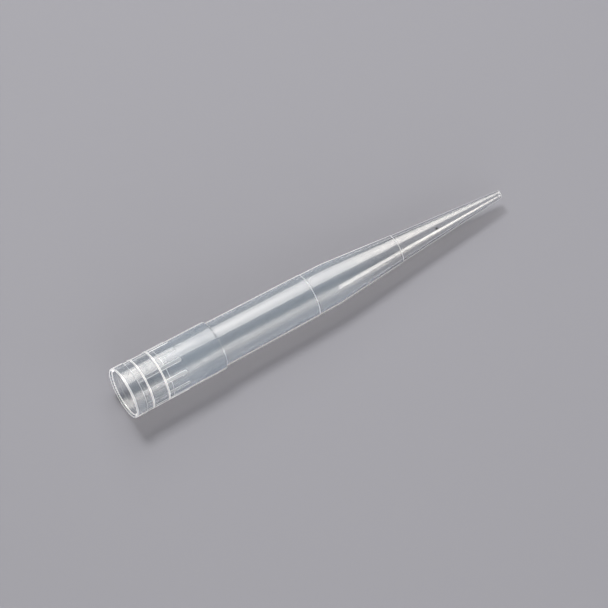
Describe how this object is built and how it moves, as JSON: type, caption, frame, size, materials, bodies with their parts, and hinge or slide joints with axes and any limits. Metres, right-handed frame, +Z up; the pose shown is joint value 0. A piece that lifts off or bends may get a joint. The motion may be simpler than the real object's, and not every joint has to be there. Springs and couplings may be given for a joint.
{
  "type": "pipette tip",
  "caption": "Clear tapered pipette tip: ribbed and ringed collar with a straight socket for a pipette's cone, plain body, stepped volume marks and a fine open point.",
  "frame": {"origin": "on the surface that the tip lies on, under the middle of its length", "axes": "+X along the tip from mouth to orifice, seen from above; +Z up. The tip's own axis falls 1.63 degrees towards the orifice, because it lies on its collar's shoulder and its first mark"},
  "size_m": [0.0716, 0.0088, 0.0091],
  "materials": {
    "polypropylene": "clear natural polypropylene, faintly milky, smooth moulded surface"
  },
  "bodies": {
    "root": {"pipette_tip": "polypropylene"}
  },
  "joints": []
}
